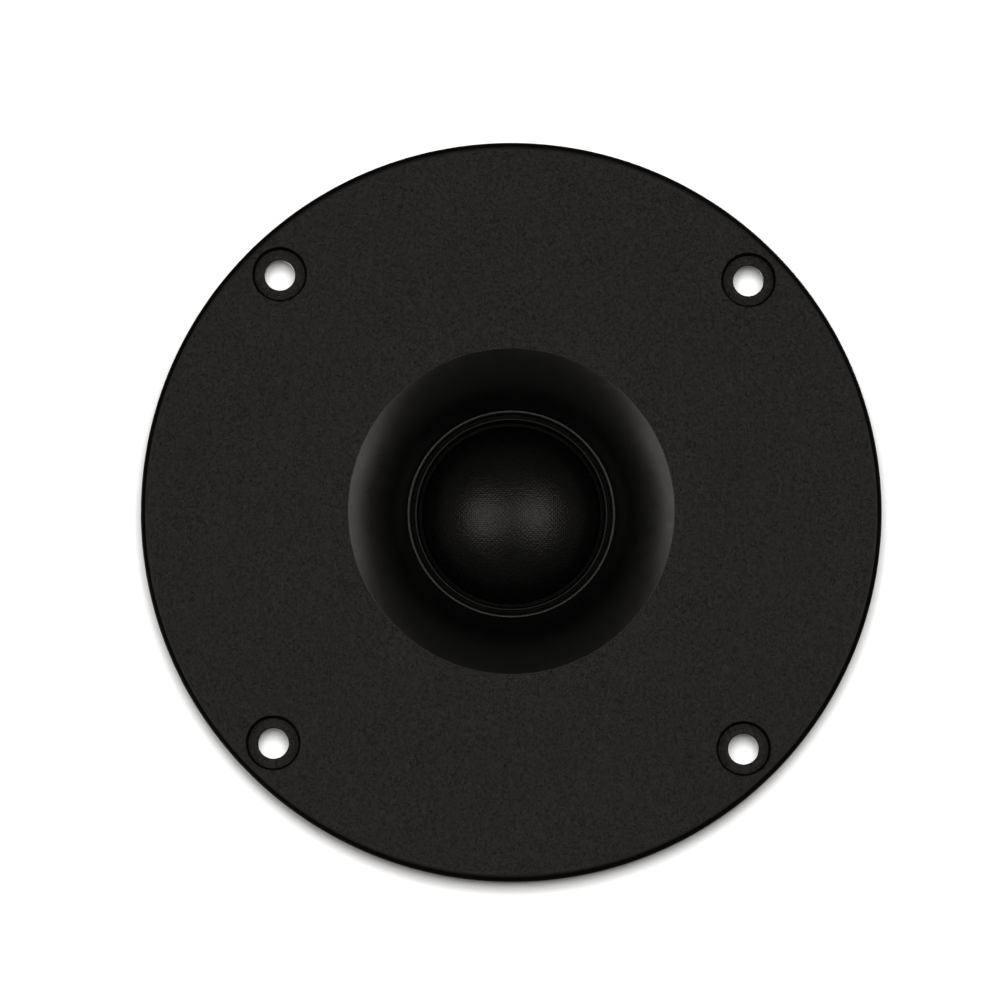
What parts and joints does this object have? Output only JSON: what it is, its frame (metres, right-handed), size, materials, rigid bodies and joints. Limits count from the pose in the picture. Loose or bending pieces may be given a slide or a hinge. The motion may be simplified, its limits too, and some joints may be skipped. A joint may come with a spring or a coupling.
{
  "type": "car tweeter",
  "caption": "Round flanged soft-dome tweeter: a black grained faceplate with a short horn, a fabric dome in its throat, and a ferrite magnet with push-on tabs behind.",
  "frame": {"origin": "on the acoustic axis, in the plane where the flange's rear rests on a baffle", "axes": "+Z is the acoustic axis, out of the front; the terminals lie towards -Y; the fixing holes are at 45 degrees between X and Y"},
  "size_m": [0.104, 0.104, 0.0262],
  "materials": {
    "black_abs": "moulded black ABS, fine spark-eroded grain on the flange, satin horn",
    "foam": "closed-cell black foam",
    "ring_plastic": "satin black plastic",
    "seal": "thin black gasket sheet",
    "silk": "coated black silk, fine weave",
    "former_foil": "thin foil",
    "winding_wire": "enamelled copper wire",
    "plated_steel": "bright zinc plate",
    "ferrite": "sintered, ground faces",
    "copper": "drawn copper sheet",
    "felt": "grey wool felt",
    "screw_steel": "black zinc plate",
    "block_plastic": "black nylon",
    "tinned_brass": "tinned brass strip",
    "rivet_steel": "nickel plated",
    "solder": "bright solder"
  },
  "bodies": {
    "chassis": {"faceplate": "black_abs", "flange_gasket": "foam", "diaphragm_ring": "ring_plastic", "diaphragm_seal": "seal", "surround": "silk", "lead_positive": "winding_wire", "lead_negative": "winding_wire", "top_plate": "plated_steel", "magnet": "ferrite", "yoke": "plated_steel", "copper_cap": "copper", "dome_felt": "felt", "ring_felt": "felt", "faceplate_screws": "screw_steel", "terminal_block": "block_plastic", "terminal_positive": "tinned_brass", "terminal_negative": "tinned_brass", "terminal_rivets": "rivet_steel", "solder_joints": "solder"},
    "diaphragm": {"dome": "silk", "coil_former": "former_foil", "voice_coil": "winding_wire"}
  },
  "joints": [
    {"name": "dome_travel", "type": "slide", "parent": "chassis", "child": "diaphragm", "axis": [0, 0, 1], "range_m": [-0.0005, 0.0005], "stiffness_N_per_m": 10000, "deforming": ["surround", "lead_positive", "lead_negative"]}
  ]
}
